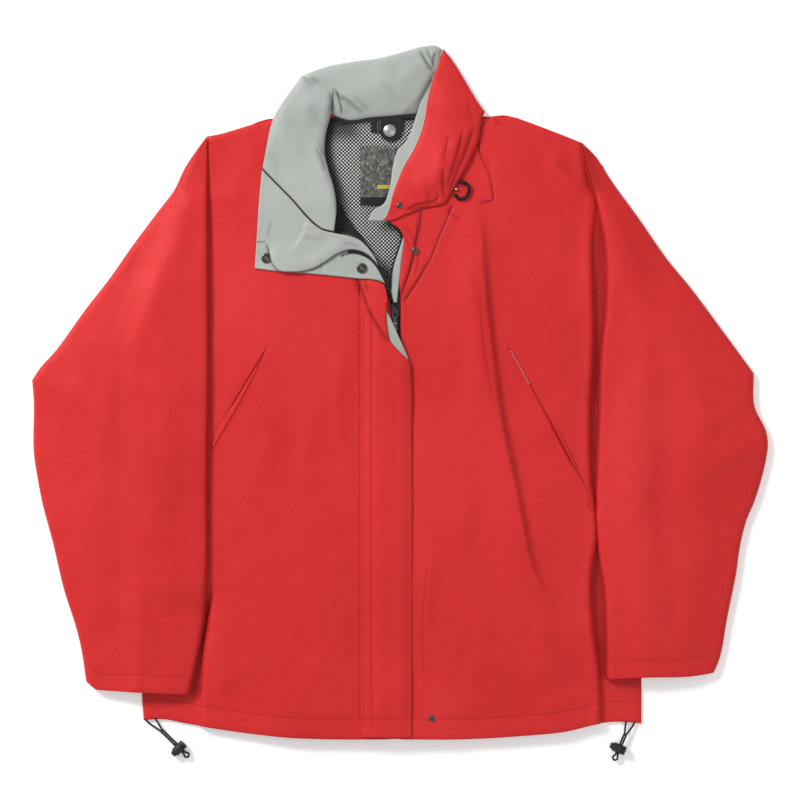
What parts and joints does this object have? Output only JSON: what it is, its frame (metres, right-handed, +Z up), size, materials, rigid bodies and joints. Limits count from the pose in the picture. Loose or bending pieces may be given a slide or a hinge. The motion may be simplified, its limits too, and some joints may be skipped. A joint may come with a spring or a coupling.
{
  "type": "foul weather jacket",
  "caption": "Waterproof sailing jacket laid flat, collar turned open, with centre zip under a storm flap, snap fasteners, long sleeves and hem drawcords.",
  "frame": {"origin": "centre of the bounding box at its lowest face, drawcords and their locks left out", "axes": "+Z up out of the front of the jacket as it lies on its back, +Y towards the collar, +X towards the wearer's left sleeve"},
  "size_m": [0.882, 0.8588, 0.0222],
  "materials": {
    "shell_red": "coated red polyester or nylon shell cloth, matt with a faint sheen",
    "facing_grey": "pale grey-green taffeta facing, softly creased",
    "lining_mesh": "black open mesh lining with a net of small holes",
    "tape_black": "black woven tape and webbing",
    "label": "woven dark grey mottled label, plain",
    "zip_plastic": "moulded black plastic",
    "zip_metal": "black lacquered zinc casting",
    "snap_metal": "dark gunmetal snap parts",
    "cord": "black braided elastic cord",
    "bright_metal": "bright steel"
  },
  "bodies": {
    "jacket": {"back_panel": "shell_red", "right_front_panel": "shell_red", "left_front_panel": "shell_red", "back_collar_outer": "shell_red", "right_collar_outer": "shell_red", "lapel_outer": "shell_red", "left_collar_outer": "shell_red", "right_pocket_welt": "shell_red", "left_pocket_welt": "shell_red", "back_collar_lining": "facing_grey", "right_collar_lining": "facing_grey", "lapel_facing": "facing_grey", "left_collar_lining": "facing_grey", "left_facing": "facing_grey", "back_lining": "lining_mesh", "right_front_lining": "lining_mesh", "left_front_lining": "lining_mesh", "neck_tape": "tape_black", "right_zip_tape": "tape_black", "left_zip_tape": "tape_black", "label": "label", "right_zip_chain": "zip_plastic", "left_zip_chain": "zip_plastic", "zip_stop": "zip_plastic", "snap_socket_a": "snap_metal", "snap_rivet_a": "snap_metal", "snap_socket_b": "snap_metal", "snap_rivet_b": "snap_metal", "snap_stud_c": "snap_metal", "snap_stud_d": "snap_metal", "snap_stud_hem": "snap_metal", "hood_cord_loop": "cord", "right_hem_cord": "cord", "left_hem_cord": "cord", "hood_cord_bead": "bright_metal"},
    "right_sleeve": {"right_top_sleeve": "shell_red", "right_under_sleeve": "shell_red"},
    "left_sleeve": {"left_top_sleeve": "shell_red", "left_under_sleeve": "shell_red"},
    "flap": {"storm_flap": "shell_red", "storm_flap_facing": "facing_grey"},
    "slider": {"zip_slider": "zip_metal"},
    "pull": {"zip_pull": "zip_metal"},
    "tab": {"neck_tab": "tape_black", "neck_tab_cap": "snap_metal", "neck_tab_socket": "snap_metal"},
    "right_lock": {"right_lock_body": "zip_plastic", "right_lock_spring": "bright_metal"},
    "right_button": {"right_lock_button": "zip_plastic"},
    "left_lock": {"left_lock_body": "zip_plastic", "left_lock_spring": "bright_metal"},
    "left_button": {"left_lock_button": "zip_plastic"}
  },
  "joints": [
    {"name": "main_zip", "type": "slide", "parent": "jacket", "child": "slider", "axis": [0, -1, 0], "range_m": [0, 0.455]},
    {"name": "zip_pull_hinge", "type": "hinge", "parent": "slider", "child": "pull", "pos_m": [-0.006, 0.0975, 0.0172], "axis": [-1, 0, 0], "range_deg": [0, 160]},
    {"name": "storm_flap_hinge", "type": "hinge", "parent": "jacket", "child": "flap", "pos_m": [-0.047, 0, 0.018], "axis": [0, -1, 0], "range_deg": [0, 150]},
    {"name": "right_sleeve_swing", "type": "hinge", "parent": "jacket", "child": "right_sleeve", "pos_m": [-0.234, 0.303, 0.006], "axis": [0, 0, -1], "range_deg": [0, 60]},
    {"name": "left_sleeve_swing", "type": "hinge", "parent": "jacket", "child": "left_sleeve", "pos_m": [0.221, 0.296, 0.006], "axis": [0, 0, 1], "range_deg": [0, 60]},
    {"name": "neck_tab_hinge", "type": "hinge", "parent": "jacket", "child": "tab", "pos_m": [-0.015, 0.3281, 0.0039], "axis": [-1, 0, 0], "range_deg": [0, 100]},
    {"name": "right_lock_slide", "type": "slide", "parent": "jacket", "child": "right_lock", "axis": [-0.7136, 0.7006, 0], "range_m": [0, 0.012]},
    {"name": "right_button_press", "type": "slide", "parent": "right_lock", "child": "right_button", "axis": [0.7006, 0.7136, 0], "range_m": [0, 0.0025], "stiffness_N_per_m": 400, "springref_m": -0.002, "deforming": ["right_lock_spring"]},
    {"name": "left_lock_slide", "type": "slide", "parent": "jacket", "child": "left_lock", "axis": [0.3973, 0.9177, 0], "range_m": [0, 0.008]},
    {"name": "left_button_press", "type": "slide", "parent": "left_lock", "child": "left_button", "axis": [0.9177, -0.3973, 0], "range_m": [0, 0.0025], "stiffness_N_per_m": 400, "springref_m": -0.002, "deforming": ["left_lock_spring"]}
  ]
}
